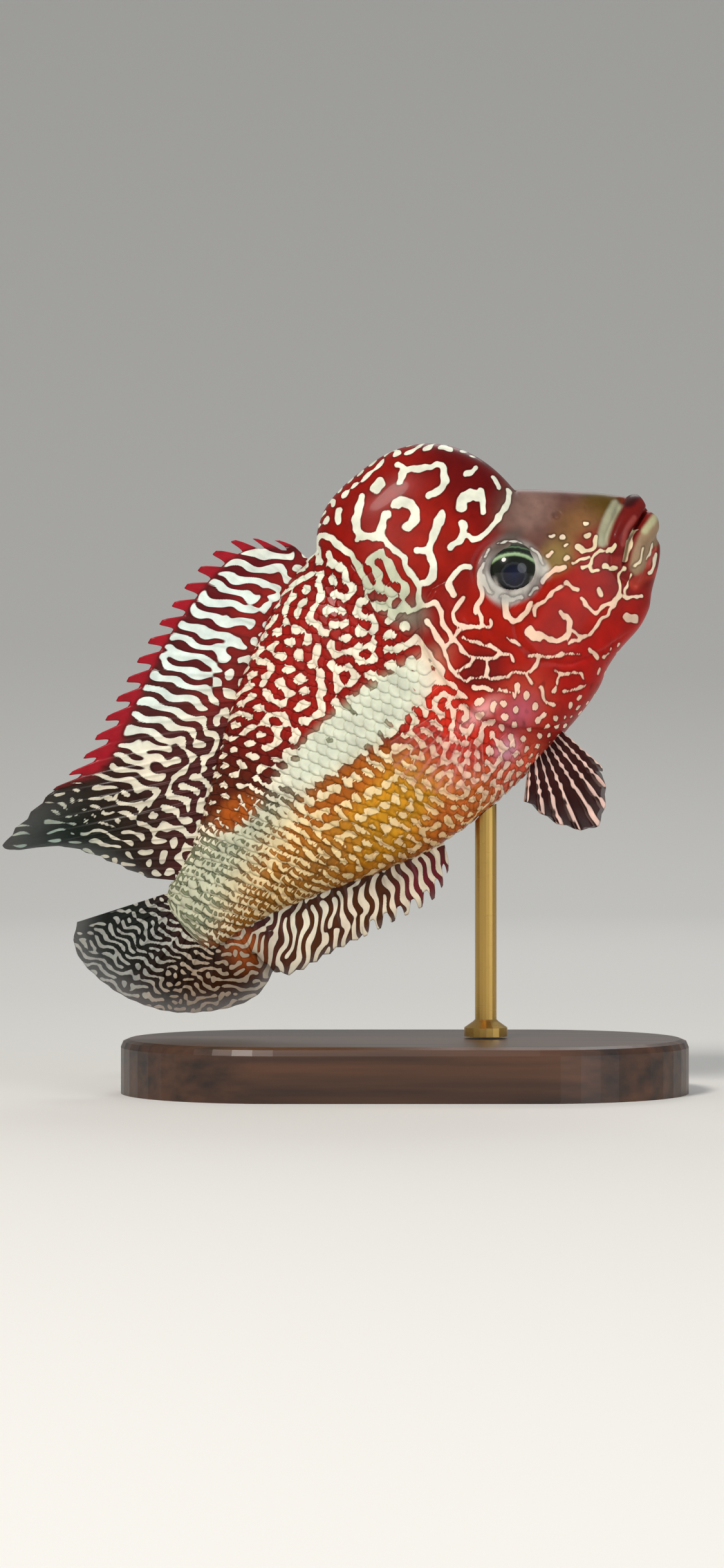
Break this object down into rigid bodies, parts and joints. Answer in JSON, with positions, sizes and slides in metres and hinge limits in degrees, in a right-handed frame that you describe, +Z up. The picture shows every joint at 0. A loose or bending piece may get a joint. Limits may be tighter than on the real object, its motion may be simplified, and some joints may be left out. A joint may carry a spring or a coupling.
{
  "type": "flowerhorn cichlid on a display stand",
  "caption": "Life-size still model of a young flowerhorn cichlid, nose up, with a high forehead hump, spread back and belly fins and a fanned tail, on a plain rod and base.",
  "frame": {"origin": "on the floor, under the centre of the whole model's box", "axes": "+X towards the snout's side, the model's longest way; +Y towards the fish's left flank, the shortest way; +Z up, away from the underside of the base"},
  "size_m": [0.1014, 0.046, 0.096],
  "materials": {
    "pale_skin": "wet scaled skin, pale green and cream",
    "gold_skin": "wet scaled skin, gold and maroon with cream marks",
    "red_skin": "wet skin, deep red with cream worm marks",
    "fin_skin": "wet fin skin, dark maroon with cream bars and dots",
    "clear_fin": "clear, faintly pink fin skin",
    "eye_dark": "clear wet eye with a dark pupil",
    "stand_metal": "satin brass",
    "stand_wood": "dark stained wood, satin lacquer"
  },
  "bodies": {
    "root": {"tail_stalk": "pale_skin", "trunk": "gold_skin", "head": "red_skin", "nuchal_hump": "red_skin", "lower_jaw": "red_skin", "dorsal_fin": "fin_skin", "anal_fin": "fin_skin", "tail_fin": "fin_skin", "gill_cover_right": "red_skin", "gill_cover_left": "red_skin", "eye_right": "eye_dark", "eye_left": "eye_dark", "pectoral_fin_right": "clear_fin", "pectoral_fin_left": "clear_fin", "pelvic_fin_right": "fin_skin", "pelvic_fin_left": "fin_skin", "stand_rod": "stand_metal", "stand_base": "stand_wood"}
  },
  "joints": []
}
